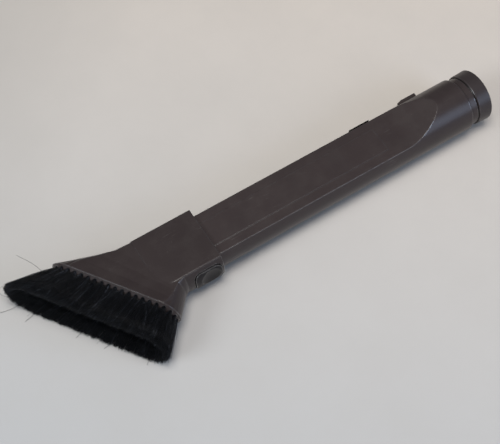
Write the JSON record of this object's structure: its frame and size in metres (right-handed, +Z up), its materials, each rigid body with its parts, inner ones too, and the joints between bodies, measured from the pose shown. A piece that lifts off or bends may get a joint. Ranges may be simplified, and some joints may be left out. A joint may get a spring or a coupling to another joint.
{
  "type": "vacuum crevice tool with sliding dusting brush",
  "caption": "Flattened crevice nozzle with a round wand socket and a flared, oblique dusting brush head that slides along it.",
  "frame": {"origin": "centre of the wand socket's mouth, on its axis", "axes": "+X out of the wand socket, +Z up from the table, -Y to the button's side"},
  "size_m": [0.3703, 0.1042, 0.0406],
  "materials": {
    "body_plastic": "satin dark brown-grey",
    "collar_plastic": "satin dark grey",
    "head_plastic": "satin dark brown-grey",
    "button_plastic": "satin dark grey",
    "spring_steel": "bright",
    "bristle": "black nylon bristle",
    "staple_wire": "plain"
  },
  "bodies": {
    "nozzle": {"nozzle": "body_plastic", "collar_ring": "collar_plastic"},
    "head": {"brush_head": "head_plastic", "button_spring": "spring_steel", "tufts_top": "bristle", "tufts_bottom": "bristle", "tufts_near_end": "bristle", "tufts_far_end": "bristle", "tuft_staples": "staple_wire"},
    "button": {"release_button": "button_plastic"}
  },
  "joints": [
    {"name": "head_slide", "type": "slide", "parent": "nozzle", "child": "head", "axis": [1, 0, 0], "range_m": [0, 0.15]},
    {"name": "button_press", "type": "slide", "parent": "head", "child": "button", "axis": [0, 1, 0], "range_m": [0, 0.001], "stiffness_N_per_m": 800, "springref_m": -0.001, "deforming": ["button_spring"]}
  ]
}
